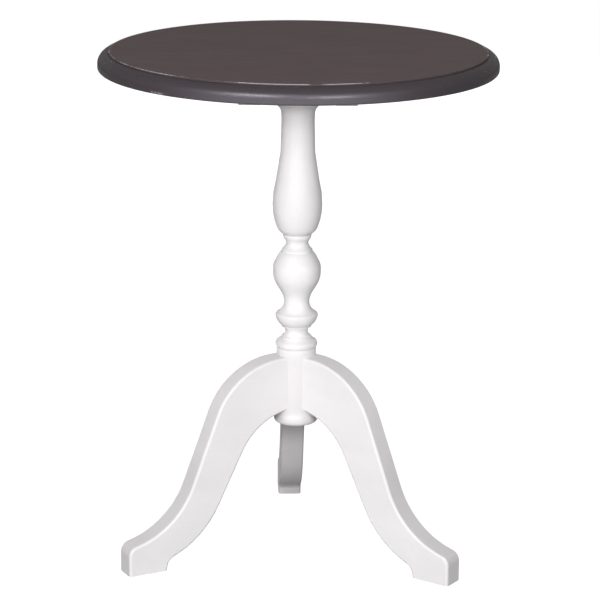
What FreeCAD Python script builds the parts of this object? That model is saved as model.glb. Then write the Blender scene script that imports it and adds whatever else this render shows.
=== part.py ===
import FreeCAD, Part
import math
import os
import Sketcher

# A round tilt top table on a turned column with three scroll legs.
# Millimetres. Origin on the floor under the column, Z up, the pivot side of the block at the front, -Y.

SIZES = {
    # top
    "top_height": 653, "top_radius": 250, "top_thickness": 23,
    "flat_radius": 236, "step_drop": 2.2, "ovolo_radius": 13.6, "rim_round": 3,
    # block that carries the top, and the pivot through it
    "seat_gap": 0.3, "block_half_width": 45, "block_thickness": 28, "block_back": 46.3,
    "pivot_forward": 33, "pivot_drop": 11, "pin_radius": 4, "pin_run": 0.05,
    "pin_inner": 24, "pin_outer": 66,
    # bearers under the top, one on each side of the block
    "bearer_gap": 0.5, "bearer_width": 26, "bearer_depth": 20.5, "bearer_half_length": 143,
    "bearer_bevel": 4,
    # wood screws of the bearers
    "screw_radius": 2.2, "screw_head_radius": 4.4, "screw_head_height": 2.6, "screw_bite": 13,
    "screw_inset": 22, "screw_recess": 0.5,
    # turned column
    "foot_height": 169, "foot_radius": 24, "foot_bead_radius": 28.3, "foot_bead_low": 174.6,
    "foot_bead_high": 178.8, "shaft_radius": 25.2, "shaft_low": 188.6, "shaft_high": 268.8,
    "groove_radius": 24.2, "groove_height": 269.4,
    "torus_radius": 24.8, "torus_low": 270, "torus_top_radius": 25.3, "torus_high": 278,
    "slope_radius": 19.6, "slope_high": 282.2, "fillet_one_high": 283.8, "cove_low_radius": 18,
    "cove_high_radius": 17.6, "cove_high": 296.4, "ring_low_radius": 18.9,
    "ring_high": 298.6, "ring_radius": 19.1,
    "lip_radius": 27.1, "lip_height": 311.6, "lip_edge_radius": 24.6, "lip_top": 315.4,
    "waist_radius": 16.1, "waist_height": 329, "ball_low_radius": 20.4, "ball_low": 343,
    "ball_side_radius": 26.9, "ball_side": 354, "ball_radius": 30.5, "ball_height": 370,
    "ball_high_radius": 27.2, "ball_high": 384.4, "ball_top_radius": 20.5, "ball_top": 395.4,
    "fillet_two_radius": 19.7, "fillet_two_high": 398,
    "throat_radius": 14.2, "throat_height": 406, "taper_radius": 16.6, "taper_height": 412,
    "collar_radius": 18.1, "collar_high": 418.4, "vase_low_radius": 25.9, "vase_low": 427,
    "vase_radius": 31.5, "vase_height": 456, "vase_high_radius": 27.5, "vase_high": 488,
    # stem and capital, measured down from the block
    "stem_radius": 21, "stem_drop": 41.7, "stem_top_radius": 21.3, "stem_top_drop": 27.5,
    "capital_low_radius": 23.2, "capital_low_drop": 21.7, "capital_radius": 35, "capital_drop": 11.7,
    "tenon_radius": 14, "tenon_fit": 0.05, "tenon_short": 0.5,
    # wedge across the end of the tenon
    "wedge_depth": 18, "wedge_top_half": 1.6, "wedge_tip_half": 0.6, "wedge_half_length": 11,
    # legs: outline points by their reach from the column axis and their height
    "leg_half_thickness": 15.2, "leg_root": 15,
    "crown_reach": 29.6, "crown_height": 260, "knee_reach": 119.7, "knee_height": 195.4,
    "shin_reach": 154.4, "shin_height": 106.9, "instep_reach": 231.8, "instep_height": 39.2,
    "toe_reach": 242.8, "toe_height": 26,
    "arch_reach": 23.6, "arch_height": 189, "hollow_reach": 82.6, "hollow_height": 143.6,
    "calf_reach": 116.8, "calf_height": 75.8, "heel_top_reach": 182.1, "heel_top_height": 15.9,
    "heel_reach": 188.6, "heel_height": 9, "sole_reach": 190.4,
    "left_azimuth": 207.8, "right_azimuth": 325.6, "rear_azimuth": 92.4,
    # dowels between legs and column
    "dowel_radius": 5, "dowel_inner": 12, "dowel_outer": 54,
    "dowel_above_arch": 18, "dowel_below_crown": 19, "dowel_end_room": 0.5,
    # slide bolt under the back of the top, and its keeper on the block
    "bolt_half_width": 7, "bolt_thickness": 6, "bolt_run": 0.3, "bolt_length": 30,
    "bolt_front": 50, "bolt_travel": 8, "bolt_drop": 3.4, "guide_front": 52, "guide_length": 26,
    "guide_wall": 2, "flange_reach": 9, "flange_thickness": 1.6,
    "knob_stem_radius": 2, "knob_radius": 5.5, "knob_height": 7, "knob_back": 70,
    "small_screw_radius": 1.4, "small_screw_head": 2.6, "small_screw_head_height": 1.4,
    "small_screw_bite": 10, "flange_screw_inset": 4.2,
    "keeper_thickness": 1.5, "keeper_half_width": 20, "keeper_height": 20, "keeper_room": 0.8,
    "keeper_top_gap": 1.4, "mortise_depth": 9, "keeper_screw_place": 14.5,
}

QUARTER = math.tan(math.pi / 8)   # bulge of a quarter circle: the tangent of a quarter of its angle

doc = FreeCAD.newDocument("tilt_top_table")
sheet = doc.addObject("Spreadsheet::Sheet", "Sizes")
for row, (alias, number) in enumerate(SIZES.items(), start=1):
    sheet.set("A%d" % row, alias)
    sheet.set("B%d" % row, str(number))
    sheet.setAlias("B%d" % row, alias)
doc.recompute()


def value(terms):
    """The number that a sum of sheet names, such as "top_height - top_thickness", comes to."""
    total = 0.0
    sign = 1
    for word in terms.split():
        if word in ("+", "-"):
            sign = 1 if word == "+" else -1
            continue
        total += sign * (SIZES[word] if word in SIZES else float(word))
        sign = 1
    return total


def bound(terms):
    """The same sum as an expression that reads the sheet."""
    return " ".join("Sizes." + word if word in SIZES else word for word in terms.split())


UNDERSIDE = "top_height - top_thickness"
BLOCK_TOP = UNDERSIDE + " - seat_gap"
BLOCK_LOW = BLOCK_TOP + " - block_thickness"
PIVOT_Z = UNDERSIDE + " - pivot_drop"
NOSE = "pivot_drop - seat_gap"
BLOCK_FRONT = "0 - pivot_forward - pivot_drop + seat_gap"
BEARER_IN = "block_half_width + bearer_gap"
BEARER_OUT = BEARER_IN + " + bearer_width"
BEARER_LOW = UNDERSIDE + " - bearer_depth"
BOLT_TOP = UNDERSIDE + " - bolt_drop"
BOLT_LOW = BOLT_TOP + " - bolt_thickness"
KEEPER_BACK = "block_back + keeper_thickness"


def new_body(label):
    body = doc.addObject("PartDesign::Body", label)
    body.Label = label
    return body


def sketch_on(body, role, name, height=None):
    """A sketch on one of the body's own origin planes, lifted along its normal if a height is given."""
    sketch = body.newObject("Sketcher::SketchObject", name)
    plane = [item for item in body.Origin.OriginFeatures if item.Role == role][0]
    sketch.AttachmentSupport = [(plane, "")]
    sketch.MapMode = "FlatFace"
    if height:
        sketch.AttachmentOffset.Base.z = value(height)
        sketch.setExpression(".AttachmentOffset.Base.z", bound(height))
    return sketch


def hold(sketch, geometry, point, across, up):
    """Ties one point of a sketch to the sheet, across and up from the sketch's origin."""
    for kind, terms in (("DistanceX", across), ("DistanceY", up)):
        number = value(terms)
        if abs(number) < 1e-9:
            axis = -2 if kind == "DistanceX" else -1
            sketch.addConstraint(Sketcher.Constraint("PointOnObject", geometry, point, axis))
            continue
        index = sketch.addConstraint(Sketcher.Constraint(kind, -1, 1, geometry, point, number))
        sketch.setExpression("Constraints[%d]" % index, bound(terms))


def outline(sketch, points):
    """A closed outline through points (across, up, bulge): a bulge bends the stretch that follows."""
    places = [FreeCAD.Vector(value(across), value(up), 0) for across, up, bulge in points]
    starts = [2 if bulge < 0 else 1 for across, up, bulge in points]
    for number, (across, up, bulge) in enumerate(points):
        start = places[number]
        end = places[(number + 1) % len(places)]
        if not bulge:
            sketch.addGeometry(Part.LineSegment(start, end), False)
            continue
        chord = end - start
        middle = (start + end) / 2 + FreeCAD.Vector(chord.y, -chord.x, 0) * (bulge / 2)
        if bulge < 0:
            start, end = end, start
        sketch.addGeometry(Part.ArcOfCircle(start, middle, end), False)
    for number in range(len(points)):
        after = (number + 1) % len(points)
        sketch.addConstraint(
            Sketcher.Constraint("Coincident", number, 3 - starts[number], after, starts[after]))
    for number, (across, up, bulge) in enumerate(points):
        hold(sketch, number, starts[number], across, up)


def rectangle(sketch, left, right, low, high):
    outline(sketch, [(left, low, 0), (right, low, 0), (right, high, 0), (left, high, 0)])


def circles(sketch, places, radius):
    for across, up in places:
        centre = FreeCAD.Vector(value(across), value(up), 0)
        number = sketch.addGeometry(Part.Circle(centre, FreeCAD.Vector(0, 0, 1), value(radius)), False)
        index = sketch.addConstraint(Sketcher.Constraint("Radius", number, value(radius)))
        sketch.setExpression("Constraints[%d]" % index, bound(radius))
        hold(sketch, number, 3, across, up)


def extrude(body, kind, sketch, length, reverse=False, both=False):
    """A pad or pocket of a bound length; both sides means half of it each way."""
    feature = body.newObject("PartDesign::" + kind, sketch.Name + "_" + kind.lower())
    feature.Profile = sketch
    feature.Reversed = reverse
    if both:
        feature.SideType = "Symmetric"
        feature.Length = 2 * value(length)
        feature.setExpression("Length", "2 * (" + bound(length) + ")")
    else:
        feature.Length = value(length)
        feature.setExpression("Length", bound(length))
    sketch.Visibility = False
    before = body.Tip
    body.Tip = feature
    doc.recompute()
    return feature


def spin(body, sketch, kind="Revolution"):
    """The sketch's outline turned about the body's Z axis."""
    feature = body.newObject("PartDesign::" + kind, sketch.Name + "_turned")
    feature.Profile = sketch
    feature.ReferenceAxis = (sketch, ["V_Axis"])
    feature.Angle = 360
    sketch.Visibility = False
    body.Tip = feature
    doc.recompute()
    return feature


def rod(label, radius, low, length, place, turn):
    """A Part::Cylinder from low to low + length along its own turned axis."""
    item = doc.addObject("Part::Cylinder", label)
    item.Label = label
    item.Radius = value(radius)
    item.setExpression("Radius", bound(radius))
    item.Height = value(length)
    item.setExpression("Height", bound(length))
    item.Placement = FreeCAD.Placement(place, turn) * FreeCAD.Placement(
        FreeCAD.Vector(0, 0, value(low)), FreeCAD.Rotation())
    return item


def cut(label, base, tools):
    """The base without the tools, which are first joined."""
    joined = tools[0]
    if len(tools) > 1:
        joined = doc.addObject("Part::MultiFuse", label + "_tools")
        joined.Shapes = tools
    result = doc.addObject("Part::Cut", label)
    result.Label = label
    result.Base = base
    result.Tool = joined
    return result


def group(label, items):
    """Identical separate pieces as one node."""
    result = doc.addObject("Part::Compound", label)
    result.Label = label
    result.Links = items
    return result


ALONG_X = FreeCAD.Rotation(FreeCAD.Vector(0, 1, 0), 90)
ALONG_Y = FreeCAD.Rotation(FreeCAD.Vector(1, 0, 0), -90)
UPWARD = FreeCAD.Rotation()


def screw(label, place, turn, shank, head_radius, head_height, radius):
    """A countersunk screw: head flush at its origin, shank along its own Z."""
    body = new_body(label)
    sketch = sketch_on(body, "XZ_Plane", label + "_half")
    outline(sketch, [("0", "0", 0), (head_radius, "0", 0), (radius, head_height, 0),
                     (radius, shank, 0), ("0", shank + " + " + radius, 0)])
    spin(body, sketch)
    body.Placement = FreeCAD.Placement(place, turn)
    return body


# ---- table top ----
table_top = new_body("table_top")
half = sketch_on(table_top, "XZ_Plane", "top_half")
outline(half, [
    ("0", UNDERSIDE, 0),
    ("top_radius - rim_round", UNDERSIDE, QUARTER),
    ("top_radius", UNDERSIDE + " + rim_round", 0),
    ("top_radius", "top_height - step_drop - ovolo_radius", QUARTER),
    ("top_radius - ovolo_radius", "top_height - step_drop", 0),
    ("flat_radius", "top_height - step_drop", 0),
    ("flat_radius", "top_height", 0),
    ("0", "top_height", 0),
])
spin(table_top, half)

screw_rows = [value("bearer_half_length - screw_inset") * share for share in (-1, -1 / 3, 1 / 3, 1)]
bearer_middle = value(BEARER_IN) + value("bearer_width") / 2
screw_start = value(BEARER_LOW + " + screw_recess")
screw_length = "bearer_depth - screw_recess + screw_bite"


def pilot_holes(body, name, places, radius, height, depth):
    """Round blind holes upwards from a level height."""
    sketch = sketch_on(body, "XY_Plane", name, height)
    for across, up in places:
        number = sketch.addGeometry(
            Part.Circle(FreeCAD.Vector(across, up, 0), FreeCAD.Vector(0, 0, 1), value(radius)), False)
        index = sketch.addConstraint(Sketcher.Constraint("Radius", number, value(radius)))
        sketch.setExpression("Constraints[%d]" % index, bound(radius))
    extrude(body, "Pocket", sketch, depth, reverse=True)


pilot_holes(table_top, "bearer_pilots",
            [(side * bearer_middle, row) for side in (-1, 1) for row in screw_rows],
            "screw_radius", UNDERSIDE, "screw_bite + screw_radius")

flange_half = value("bolt_half_width + bolt_run + guide_wall + flange_reach")
flange_hole = flange_half - value("flange_screw_inset")
flange_rows = [value("guide_front + flange_screw_inset"),
               value("guide_front + guide_length - flange_screw_inset")]
flange_places = [(side * flange_hole, row) for side in (-1, 1) for row in flange_rows]
pilot_holes(table_top, "guide_pilots", flange_places,
            "small_screw_radius", UNDERSIDE, "small_screw_bite + small_screw_radius")

# ---- bearers with their screws and pivot pins ----
for side, word in ((-1, "left"), (1, "right")):
    bearer = new_body("bearer_" + word)
    shape = sketch_on(bearer, "YZ_Plane", "bearer_side_" + word)
    outline(shape, [
        ("0 - bearer_half_length", UNDERSIDE, 0),
        ("0 - bearer_half_length", BEARER_LOW + " + bearer_bevel", 0),
        ("0 - bearer_half_length + bearer_bevel", BEARER_LOW, 0),
        ("bearer_half_length - bearer_bevel", BEARER_LOW, 0),
        ("bearer_half_length", BEARER_LOW + " + bearer_bevel", 0),
        ("bearer_half_length", UNDERSIDE, 0),
    ])
    extrude(bearer, "Pad", shape, "bearer_width")
    pin_hole = sketch_on(bearer, "YZ_Plane", "bearer_pin_" + word)
    circles(pin_hole, [("0 - pivot_forward", PIVOT_Z)], "pin_radius")
    if side > 0:
        extrude(bearer, "Pocket", pin_hole, "pin_outer - " + BEARER_IN.replace("+", "-"), reverse=True)
    else:
        pin_hole.AttachmentOffset.Base.z = value("bearer_width")
        pin_hole.setExpression(".AttachmentOffset.Base.z", bound("bearer_width"))
        extrude(bearer, "Pocket", pin_hole, "pin_outer - " + BEARER_IN.replace("+", "-"))
    pilot_holes(bearer, "bearer_holes_" + word, [(value("bearer_width") / 2, row) for row in screw_rows],
                "screw_radius", BEARER_LOW, "bearer_depth")
    sinks = sketch_on(bearer, "XY_Plane", "bearer_sinks_" + word, BEARER_LOW)
    for row in screw_rows:
        sinks.addGeometry(Part.Circle(FreeCAD.Vector(value("bearer_width") / 2, row, 0),
                                      FreeCAD.Vector(0, 0, 1), value("screw_head_radius")), False)
    extrude(bearer, "Pocket", sinks, "screw_recess + screw_head_height", reverse=True)
    inner = value(BEARER_IN) if side > 0 else -value(BEARER_OUT)
    bearer.Placement.Base = FreeCAD.Vector(inner, 0, 0)
    bearer.setExpression("Placement.Base.x",
                         bound(BEARER_IN) if side > 0 else "-(" + bound(BEARER_OUT) + ")")

    screws = []
    for number, row in enumerate(screw_rows, start=1):
        place = FreeCAD.Vector(side * bearer_middle, row, screw_start)
        screws.append(screw("bearer_screw_%s_%d" % (word, number), place, UPWARD, screw_length,
                            "screw_head_radius", "screw_head_height", "screw_radius"))
    group("bearer_screws_" + word, screws)

    turn = ALONG_X if side > 0 else ALONG_X.inverted()
    rod("pivot_pin_" + word, "pin_radius", "pin_inner", "pin_outer - pin_inner",
        FreeCAD.Vector(0, -value("pivot_forward"), value(PIVOT_Z)), turn)

# ---- block on the column ----
block = new_body("pivot_block")
shape = sketch_on(block, "YZ_Plane", "block_side")
outline(shape, [
    (BLOCK_FRONT, BLOCK_LOW, 0),
    ("block_back", BLOCK_LOW, 0),
    ("block_back", BLOCK_TOP, 0),
    ("0 - pivot_forward", BLOCK_TOP, QUARTER),
    (BLOCK_FRONT, PIVOT_Z, 0),
])
extrude(block, "Pad", shape, "block_half_width", both=True)
pin_bore = sketch_on(block, "YZ_Plane", "block_pin_bore")
circles(pin_bore, [("0 - pivot_forward", PIVOT_Z)], "pin_radius + pin_run")
extrude(block, "Pocket", pin_bore, "block_half_width", both=True)
tenon_bore = sketch_on(block, "XY_Plane", "block_tenon_bore", BLOCK_LOW)
circles(tenon_bore, [("0", "0")], "tenon_radius + tenon_fit")
extrude(block, "Pocket", tenon_bore, "block_thickness", reverse=True)
mortise = sketch_on(block, "XZ_Plane", "block_mortise", "0 - block_back")
rectangle(mortise, "0 - bolt_half_width - keeper_room", "bolt_half_width + keeper_room",
          BOLT_LOW + " - keeper_room", BOLT_TOP + " + keeper_room")
extrude(block, "Pocket", mortise, "mortise_depth", reverse=True)

keeper_top = BLOCK_TOP + " - keeper_top_gap"
keeper_middle = value(BOLT_TOP) - value("bolt_thickness") / 2
keeper_screw_places = [(side * value("keeper_screw_place"), keeper_middle) for side in (-1, 1)]
keeper_pilots = sketch_on(block, "XZ_Plane", "block_keeper_pilots", "0 - block_back")
for across, up in keeper_screw_places:
    keeper_pilots.addGeometry(Part.Circle(FreeCAD.Vector(across, up, 0), FreeCAD.Vector(0, 0, 1),
                                          value("small_screw_radius")), False)
extrude(block, "Pocket", keeper_pilots, "small_screw_bite + small_screw_radius", reverse=True)

# ---- turned column with its tenon ----
turning = new_body("column_turning")
half = sketch_on(turning, "XZ_Plane", "column_half")
outline(half, [
    ("0", "foot_height", 0),
    ("foot_radius", "foot_height", 0.35),
    ("foot_bead_radius", "foot_bead_low", 0),
    ("foot_bead_radius", "foot_bead_high", -0.15),
    ("shaft_radius", "shaft_low", 0),
    ("shaft_radius", "shaft_high", 0),
    ("groove_radius", "groove_height", 0),
    ("torus_radius", "torus_low", 0.44),
    ("torus_top_radius", "torus_high", -0.08),
    ("slope_radius", "slope_high", 0),
    ("slope_radius", "fillet_one_high", 0),
    ("cove_low_radius", "fillet_one_high", -0.5),
    ("cove_high_radius", "cove_high", 0),
    ("ring_low_radius", "cove_high", 0),
    ("ring_radius", "ring_high", 0.22),
    ("lip_radius", "lip_height", 0.36),
    ("lip_edge_radius", "lip_top", -0.25),
    ("waist_radius", "waist_height", -0.13),
    ("ball_low_radius", "ball_low", 0.02),
    ("ball_side_radius", "ball_side", 0.13),
    ("ball_radius", "ball_height", 0.17),
    ("ball_high_radius", "ball_high", 0.09),
    ("ball_top_radius", "ball_top", 0),
    ("fillet_two_radius", "ball_top", 0),
    ("fillet_two_radius", "fillet_two_high", -0.14),
    ("throat_radius", "throat_height", -0.18),
    ("taper_radius", "taper_height", 0.2),
    ("collar_radius", "collar_high", 0.15),
    ("vase_low_radius", "vase_low", 0.1),
    ("vase_radius", "vase_height", 0.07),
    ("vase_high_radius", "vase_high", -0.064),
    ("stem_radius", BLOCK_LOW + " - stem_drop", -0.02),
    ("stem_top_radius", BLOCK_LOW + " - stem_top_drop", -0.1),
    ("capital_low_radius", BLOCK_LOW + " - capital_low_drop", -0.1),
    ("capital_radius", BLOCK_LOW + " - capital_drop", 0),
    ("capital_radius", BLOCK_LOW, 0),
    ("tenon_radius", BLOCK_LOW, 0),
    ("tenon_radius", BLOCK_TOP + " - tenon_short", 0),
    ("0", BLOCK_TOP + " - tenon_short", 0),
])
spin(turning, half)

TENON_TOP = BLOCK_TOP + " - tenon_short"


def wedge_outline(sketch):
    """The wedge seen along its length: wide at the tenon's end, narrow at its tip."""
    outline(sketch, [
        ("0 - wedge_tip_half", TENON_TOP + " - wedge_depth", 0),
        ("wedge_tip_half", TENON_TOP + " - wedge_depth", 0),
        ("wedge_top_half", TENON_TOP, 0),
        ("0 - wedge_top_half", TENON_TOP, 0),
    ])


kerf = sketch_on(turning, "YZ_Plane", "tenon_kerf")
wedge_outline(kerf)
extrude(turning, "Pocket", kerf, "wedge_half_length", both=True)

wedge = new_body("tenon_wedge")
shape = sketch_on(wedge, "YZ_Plane", "wedge_end")
wedge_outline(shape)
extrude(wedge, "Pad", shape, "wedge_half_length", both=True)

# ---- legs, each with its two dowels ----
AZIMUTHS = {"left": "left_azimuth", "right": "right_azimuth", "rear": "rear_azimuth"}
DOWEL_LEVELS = {"low": "arch_height + dowel_above_arch", "high": "crown_height - dowel_below_crown"}
column_holes = []
for word, azimuth in AZIMUTHS.items():
    leg = new_body("leg_" + word)
    side = sketch_on(leg, "XZ_Plane", "leg_side_" + word)
    outline(side, [
        ("leg_root", "crown_height", 0),
        ("leg_root", "arch_height", 0),
        ("arch_reach", "arch_height", -0.225),
        ("hollow_reach", "hollow_height", 0),
        ("calf_reach", "calf_height", 0.182),
        ("heel_top_reach", "heel_top_height", -0.14),
        ("heel_reach", "heel_height", 0),
        ("sole_reach", "0", 0),
        ("toe_reach", "0", 0),
        ("toe_reach", "toe_height", 0.346),
        ("instep_reach", "instep_height", -0.245),
        ("shin_reach", "shin_height", 0),
        ("knee_reach", "knee_height", 0.3),
        ("crown_reach", "crown_height", 0),
    ])
    extrude(leg, "Pad", side, "leg_half_thickness", both=True)
    cope = sketch_on(leg, "XY_Plane", "leg_cope_" + word)
    circles(cope, [("0", "0")], "shaft_radius")
    extrude(leg, "Pocket", cope, "top_height", both=True)
    bores = sketch_on(leg, "YZ_Plane", "leg_bores_" + word)
    circles(bores, [("0", level) for level in DOWEL_LEVELS.values()], "dowel_radius")
    extrude(leg, "Pocket", bores, "dowel_outer + dowel_end_room", reverse=True)
    turn = FreeCAD.Rotation(FreeCAD.Vector(0, 0, 1), value(azimuth))
    leg.Placement = FreeCAD.Placement(FreeCAD.Vector(0, 0, 0), turn)
    leg.setExpression("Placement.Rotation.Angle", bound(azimuth))

    pins = []
    for end, level in DOWEL_LEVELS.items():
        place = FreeCAD.Vector(0, 0, value(level))
        pins.append(rod("dowel_%s_%s" % (word, end), "dowel_radius", "dowel_inner",
                        "dowel_outer - dowel_inner", place, turn * ALONG_X))
        column_holes.append(rod("hole_%s_%s" % (word, end), "dowel_radius",
                                "dowel_inner - dowel_end_room", "shaft_radius", place, turn * ALONG_X))
    group("leg_dowels_" + word, pins)
cut("column", turning, column_holes)

# ---- slide bolt under the back of the top ----
guide = new_body("bolt_guide")
shape = sketch_on(guide, "XZ_Plane", "guide_end", "0 - guide_front")
hat_out = "bolt_half_width + bolt_run + guide_wall"
hat_in = "bolt_half_width + bolt_run"
FLANGE_LOW = UNDERSIDE + " - flange_thickness"
CAVITY_LOW = BOLT_LOW + " - bolt_run"
GUIDE_LOW = CAVITY_LOW + " - guide_wall"
outline(shape, [
    ("0 - " + hat_out.replace("+", "-") + " - flange_reach", UNDERSIDE, 0),
    ("0 - " + hat_out.replace("+", "-") + " - flange_reach", FLANGE_LOW, 0),
    ("0 - " + hat_out.replace("+", "-"), FLANGE_LOW, 0),
    ("0 - " + hat_out.replace("+", "-"), GUIDE_LOW, 0),
    (hat_out, GUIDE_LOW, 0),
    (hat_out, FLANGE_LOW, 0),
    (hat_out + " + flange_reach", FLANGE_LOW, 0),
    (hat_out + " + flange_reach", UNDERSIDE, 0),
])
extrude(guide, "Pad", shape, "guide_length", reverse=True)
cavity = sketch_on(guide, "XZ_Plane", "guide_cavity", "0 - guide_front")
rectangle(cavity, "0 - " + hat_in.replace("+", "-"), hat_in, CAVITY_LOW, BOLT_TOP + " + bolt_run")
extrude(guide, "Pocket", cavity, "guide_length")
slot = sketch_on(guide, "XY_Plane", "guide_slot", GUIDE_LOW)
slot_side = "knob_stem_radius + bolt_run"
outline(slot, [
    (slot_side, "knob_back - bolt_travel", 0),
    (slot_side, "knob_back", 1),
    ("0 - " + slot_side.replace("+", "-"), "knob_back", 0),
    ("0 - " + slot_side.replace("+", "-"), "knob_back - bolt_travel", 1),
])
extrude(guide, "Pocket", slot, "guide_wall", reverse=True)
pilot_holes(guide, "guide_holes", flange_places, "small_screw_radius", FLANGE_LOW, "flange_thickness")
sinks = sketch_on(guide, "XY_Plane", "guide_sinks", FLANGE_LOW)
for across, up in flange_places:
    sinks.addGeometry(Part.Circle(FreeCAD.Vector(across, up, 0), FreeCAD.Vector(0, 0, 1),
                                  value("small_screw_head")), False)
extrude(guide, "Pocket", sinks, "small_screw_head_height", reverse=True)

group("guide_screws", [
    screw("guide_screw_%d" % number, FreeCAD.Vector(across, up, value(FLANGE_LOW)), UPWARD,
          "flange_thickness + small_screw_bite", "small_screw_head", "small_screw_head_height",
          "small_screw_radius")
    for number, (across, up) in enumerate(flange_places, start=1)])

bolt = new_body("slide_bolt")
shape = sketch_on(bolt, "XZ_Plane", "bolt_end", "0 - bolt_front")
rectangle(shape, "0 - bolt_half_width", "bolt_half_width", BOLT_LOW, BOLT_TOP)
extrude(bolt, "Pad", shape, "bolt_length", reverse=True)
stem_hole = sketch_on(bolt, "XY_Plane", "bolt_stem_hole", BOLT_LOW)
circles(stem_hole, [("0", "knob_back")], "knob_stem_radius")
extrude(bolt, "Pocket", stem_hole, "bolt_thickness - bolt_run", reverse=True)

knob = new_body("bolt_knob")
half = sketch_on(knob, "XZ_Plane", "knob_half")
KNOB_TOP = GUIDE_LOW + " - bolt_run"
KNOB_LOW = KNOB_TOP + " - knob_height"
outline(half, [
    ("0", KNOB_LOW, 0),
    ("knob_radius - knob_stem_radius", KNOB_LOW, QUARTER),
    ("knob_radius", KNOB_LOW + " + knob_stem_radius", QUARTER),
    ("knob_stem_radius", KNOB_TOP, 0),
    ("knob_stem_radius", BOLT_TOP + " - bolt_run", 0),
    ("0", BOLT_TOP + " - bolt_run", 0),
])
spin(knob, half)
knob.Placement.Base.y = value("knob_back")
knob.setExpression("Placement.Base.y", bound("knob_back"))

# ---- keeper on the back of the block ----
keeper = new_body("keeper_plate")
shape = sketch_on(keeper, "XZ_Plane", "keeper_face", "0 - block_back")
rectangle(shape, "0 - keeper_half_width", "keeper_half_width", keeper_top + " - keeper_height", keeper_top)
extrude(keeper, "Pad", shape, "keeper_thickness", reverse=True)
window = sketch_on(keeper, "XZ_Plane", "keeper_window", "0 - block_back")
rectangle(window, "0 - bolt_half_width - keeper_room", "bolt_half_width + keeper_room",
          BOLT_LOW + " - keeper_room", BOLT_TOP + " + keeper_room")
extrude(keeper, "Pocket", window, "keeper_thickness")
for name, size, depth in (("keeper_holes", "small_screw_radius", "keeper_thickness"),
                          ("keeper_sinks", "small_screw_head", "small_screw_head_height")):
    rings = sketch_on(keeper, "XZ_Plane", name, "0 - " + KEEPER_BACK.replace("+", "-"))
    for across, up in keeper_screw_places:
        rings.addGeometry(Part.Circle(FreeCAD.Vector(across, up, 0), FreeCAD.Vector(0, 0, 1),
                                      value(size)), False)
    extrude(keeper, "Pocket", rings, depth, reverse=True)

group("keeper_screws", [
    screw("keeper_screw_%d" % number, FreeCAD.Vector(across, value(KEEPER_BACK), up),
          ALONG_Y.inverted(), "keeper_thickness + small_screw_bite", "small_screw_head",
          "small_screw_head_height", "small_screw_radius")
    for number, (across, up) in enumerate(keeper_screw_places, start=1)])

doc.recompute()
for item in doc.Objects:
    if "Invalid" in item.State or "Error" in item.State:
        raise RuntimeError("%s: %s" % (item.Label, item.State))

NODES = ["table_top", "pivot_block", "column", "tenon_wedge", "bolt_guide", "guide_screws",
         "slide_bolt", "bolt_knob", "keeper_plate", "keeper_screws"]
NODES += [stem + word for word in ("left", "right")
          for stem in ("bearer_", "bearer_screws_", "pivot_pin_")]
NODES += [stem + word for word in AZIMUTHS for stem in ("leg_", "leg_dowels_")]

os.makedirs("parts", exist_ok=True)
for label in NODES:
    shape = doc.getObjectsByLabel(label)[0].Shape
    if shape.isNull() or not shape.isValid():
        raise RuntimeError(label + " has no valid shape")
    shape.exportStep("parts/" + label + ".step")
print(len(NODES), "nodes")
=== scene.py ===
import bpy
import math
from mathutils import Euler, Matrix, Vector


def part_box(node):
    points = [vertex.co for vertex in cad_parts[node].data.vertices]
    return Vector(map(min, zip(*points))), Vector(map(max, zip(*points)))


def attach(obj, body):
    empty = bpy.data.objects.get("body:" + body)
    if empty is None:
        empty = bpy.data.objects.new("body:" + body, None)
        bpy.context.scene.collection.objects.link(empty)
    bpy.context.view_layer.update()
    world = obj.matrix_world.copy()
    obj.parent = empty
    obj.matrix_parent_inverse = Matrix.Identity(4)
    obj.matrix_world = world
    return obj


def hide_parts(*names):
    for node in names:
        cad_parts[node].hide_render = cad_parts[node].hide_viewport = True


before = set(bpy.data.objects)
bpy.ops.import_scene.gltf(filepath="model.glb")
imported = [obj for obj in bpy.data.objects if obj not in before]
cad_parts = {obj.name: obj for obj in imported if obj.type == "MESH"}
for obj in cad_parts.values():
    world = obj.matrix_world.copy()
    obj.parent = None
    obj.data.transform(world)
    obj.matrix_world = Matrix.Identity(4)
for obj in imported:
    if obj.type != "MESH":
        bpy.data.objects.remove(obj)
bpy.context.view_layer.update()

# A round tilt top table: dark worn top, white turned column and scroll legs.
# Metres, Z up, the front towards -Y. Outlines are written in millimetres and scaled by MM. Their points are
# (across, up, bulge), where the bulge bends the side that follows: the tangent of a quarter of its angle.

MM = 0.001
QUARTER = math.tan(math.pi / 8)   # bulge of a quarter circle

# top
TOP_LOW, TOP_HIGH = (corner[2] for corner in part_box("table_top"))
TOP_RADIUS = 0.250
FLAT_RADIUS = 0.236
STEP_DROP = 0.0022
OVOLO = 0.0136
RIM_ROUND = 0.003
CORE_RADIUS = 0.120               # the innermost ring of edges on the flat and on the underside

# column, in millimetres: where it starts and ends, its shaft, and the members with a line of painted shade at
# their top
COLUMN_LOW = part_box("column")[0][2] / MM
BLOCK_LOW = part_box("pivot_block")[0][2] / MM
SHAFT_RADIUS = 25.2
GROOVE = 269.4
RING_TOP = 298.6
LIP_TOP = 315.4
COLLAR_TOP = 418.4
COLUMN_SIDES = 96

# legs
LEG_AZIMUTHS = {"left": 207.8, "right": 325.6, "rear": 92.4}
LEG_THICKNESS = 0.0304
LEG_ARRIS = 0.0036
COPE_DEPTH = 0.0003               # how far the coped end reaches into the shaft
COPE_LENGTH = 0.2                 # of the round that copes it, longer than the leg is high there

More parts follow.
